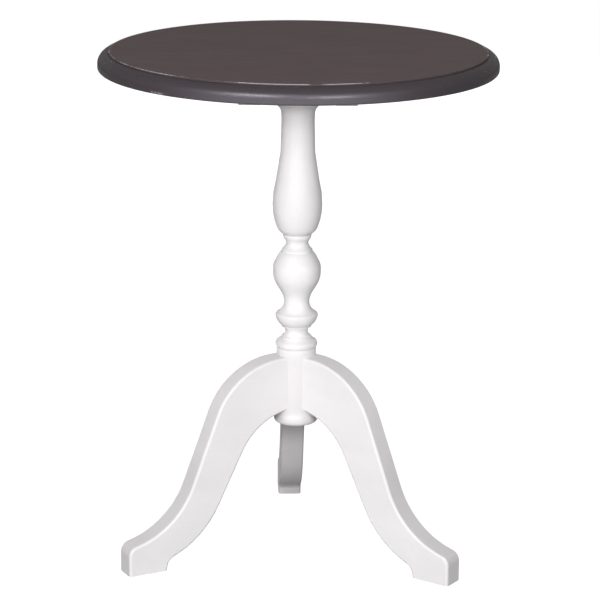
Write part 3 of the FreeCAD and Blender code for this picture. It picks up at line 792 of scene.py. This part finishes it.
LEG_OUTLINE = [
    # the end in the shaft, the arch and the back of the calf
    (ROOT_REACH, CROWN_HEIGHT, 0), (ROOT_REACH, ARCH_HEIGHT, 0), (23.6, ARCH_HEIGHT, -0.225),
    (*HOLLOW, 0), (*CALF, 0.182), (182.1, 15.9, -0.14),
    # heel, sole and toe
    (188.6, 9, 0), (190.4, 0, 0), (190.4, -SOLE_SPARE, 0), (242.8, -SOLE_SPARE, 0), (242.8, 26, 0.346),
    # instep, shin, knee and crown
    (231.8, 39.2, -0.245), (154.4, 106.9, 0), (119.7, 195.4, 0.3), (29.6, CROWN_HEIGHT, 0),
]
# strength of the painted shade on the narrow edges low down, and of that on the underside high up
LEG_SHADE_STRENGTH = {"left": (0.22, 0.0), "right": (0.24, 0.0), "rear": (0.10, 0.85)}


def cut_sole(piece):
    """Cuts a leg off level with the floor."""
    edit(piece)
    bpy.ops.mesh.bisect(plane_co=(0, 0, 0), plane_no=(0, 0, 1), use_fill=True, clear_inner=True)
    leave_edit()


def cope(piece):
    """Cuts the shaft's round out of a leg's upper end."""
    middle = (ARCH_HEIGHT + CROWN_HEIGHT) / 2 * MM
    bpy.ops.object.select_all(action="DESELECT")
    bpy.ops.mesh.primitive_cylinder_add(vertices=COLUMN_SIDES, radius=SHAFT_RADIUS * MM - COPE_DEPTH,
                                        depth=COPE_LENGTH, location=(0, 0, middle))
    shaft = bpy.context.object
    cut = piece.modifiers.new("cope", "BOOLEAN")
    cut.object = shaft
    cut.operation = "DIFFERENCE"
    cut.solver = "EXACT"
    apply_modifiers(piece)
    bpy.data.objects.remove(shaft)
    make_outward(piece)


def make_leg(word, azimuth):
    """A scroll leg, sawn along X, coped to the shaft and then turned to its azimuth."""
    piece = drawn_board(LEG_OUTLINE, LEG_THICKNESS, arc_step=5)
    soften_edges(piece, LEG_ARRIS, angle=50, segments=5)
    cut_sole(piece)
    cope(piece)
    piece.rotation_euler = Euler((0, 0, math.radians(azimuth)))
    settle(piece)
    smooth(piece, angle=30, flat_faces=True)
    paint = white_paint("leg_paint_" + word, WHITE, smoothest=0.43, lay=(0, 0, -azimuth),
                        marks=leg_shading(*LEG_SHADE_STRENGTH[word]))
    finish_piece(piece, "scroll_leg_" + word, "stand", paint, "leg_" + word)


make_top()
make_column()
for word, azimuth in LEG_AZIMUTHS.items():
    make_leg(word, azimuth)


# ---------------------------------------------------------------- floor, light and camera

FLOOR_SIZE = 60
FLOOR_GREY = (0.15, 0.15, 0.15, 1)
FLOOR_GLOW = 0.985                # what the camera sees of the floor
GLOSSY_GLOW_SPOT = (0.1, -2.4, 0)    # in reflections the floor glows brightly around here, and less further away: a painted reflection on the rim
GLOSSY_GLOW_REACH = (0.6, 2.6)
GLOSSY_GLOW_FLOOR = (1.0, 0.12)
MIRRORED_ROOM = 0.20
ROOM_GLOW = 0.08

# lamps: name, place, height aimed at on the table's axis, width and height, watts
PAINT_LAMPS = (
    ("front_left", (-1.59, -3.13, 1.22), 0.45, (1.3, 1.0), 62),
    ("front_right", (1.22, -3.30, 1.16), 0.45, (1.0, 1.0), 47.5),
    ("front_low", (-0.25, -3.55, 0.95), 0.42, (1.4, 1.0), 37),
    ("side_left", (-3.20, -1.50, 1.10), 0.45, (1.2, 1.2), 6),
    ("side_right", (3.05, -1.75, 1.10), 0.45, (1.2, 1.2), 4),
    ("above_left", (-1.3, -1.1, 2.3), 0.4, (1.3, 1.3), 10),
    ("above_right", (1.3, -0.3, 2.4), 0.3, (1.3, 1.3), 8),
    ("back_left", (-1.30, 3.20, 1.15), 0.45, (1.3, 1.0), 58),
    ("back_right", (1.20, 3.30, 1.10), 0.45, (1.3, 1.0), 52),
)
GLINT_LAMPS = (
    ("glint_left", (-1.38, -2.96, 1.97), 0.45, (1.6, 0.8), 51),
    ("glint_right", (1.12, -3.26, 1.50), 0.45, (1.3, 0.8), 34),
)

CAMERA_PLACE = (0.0042, -3.085, 1.178)
CAMERA_DOWN = 15.36               # degrees below level
CAMERA_ROLL = 0.47
SENSOR_WIDTH = 36
FOCAL_LENGTH = 150.3


def seen(nodes, mirrored):
    """1 to the camera, and the given share of it to a surface that mirrors."""
    rays = nodes.add("ShaderNodeLightPath").outputs
    straight = nodes.math("MAXIMUM", rays["Is Camera Ray"], rays["Is Transmission Ray"])
    return nodes.math("MAXIMUM", straight, nodes.product(rays["Is Glossy Ray"], mirrored))


def make_floor():
    """A pale floor that the camera sees as white, that lights the table only a little, and that glows
    brighter near the front in reflections, as a painted reflection.
    """
    bpy.ops.object.select_all(action="DESELECT")
    bpy.ops.mesh.primitive_plane_add(size=FLOOR_SIZE, location=(0, 0, 0))
    floor = bpy.context.object
    floor.name = "floor"
    material, nodes, shader, place = new_material("floor_white")
    shader.inputs["Base Color"].default_value = FLOOR_GREY
    shader.inputs["Roughness"].default_value = 0.9
    shader.inputs["Specular IOR Level"].default_value = 0.0
    # painted reflection: the floor glows brighter near the front, seen only in reflections
    away = nodes.add("ShaderNodeVectorMath", operation="DISTANCE")
    nodes.join(place, away.inputs[0])
    away.inputs[1].default_value = GLOSSY_GLOW_SPOT
    mirrored = nodes.span(away.outputs["Value"], *GLOSSY_GLOW_REACH, *GLOSSY_GLOW_FLOOR)
    shader.inputs["Emission Color"].default_value = (1, 1, 1, 1)
    nodes.join(nodes.product(seen(nodes, mirrored), FLOOR_GLOW), shader.inputs["Emission Strength"])
    floor.data.materials.append(material)


def make_world():
    """A white background that lights the table only a little."""
    world = bpy.data.worlds.new("white_room")
    bpy.context.scene.world = world
    world.use_nodes = True
    nodes = Nodes(world.node_tree)
    background = world.node_tree.nodes["Background"]
    background.inputs["Color"].default_value = (1, 1, 1, 1)
    glow = nodes.math("MAXIMUM", seen(nodes, MIRRORED_ROOM), ROOM_GLOW)
    nodes.join(glow, background.inputs["Strength"])


def softbox(name, place, aimed_at, size, power, glints=True, fills=True):
    """A lamp box aimed at the table; it may light without a glint on the paint, or only make the glint."""
    lamp = bpy.data.lights.new(name, "AREA")
    lamp.shape = "RECTANGLE"
    lamp.size, lamp.size_y = size
    lamp.energy = power
    holder = bpy.data.objects.new(name, lamp)
    bpy.context.scene.collection.objects.link(holder)
    holder.location = place
    aim = Vector((0, 0, aimed_at)) - Vector(place)
    holder.rotation_euler = aim.to_track_quat("-Z", "Y").to_euler()
    holder.visible_glossy = glints
    holder.visible_diffuse = fills


def make_camera():
    lens = bpy.data.cameras.new("camera")
    lens.sensor_width = SENSOR_WIDTH
    lens.lens = FOCAL_LENGTH
    camera = bpy.data.objects.new("camera", lens)
    bpy.context.scene.collection.objects.link(camera)
    camera.location = CAMERA_PLACE
    pitch = Euler((math.radians(90 - CAMERA_DOWN), 0, 0)).to_matrix()
    roll = Euler((0, 0, math.radians(CAMERA_ROLL))).to_matrix()
    camera.rotation_euler = (pitch @ roll).to_euler()
    bpy.context.scene.camera = camera


make_floor()
make_world()
for lamp in PAINT_LAMPS:
    softbox(*lamp, glints=False)
for lamp in GLINT_LAMPS:
    softbox(*lamp, fills=False)
make_camera()
bpy.context.scene.view_settings.view_transform = "Standard"
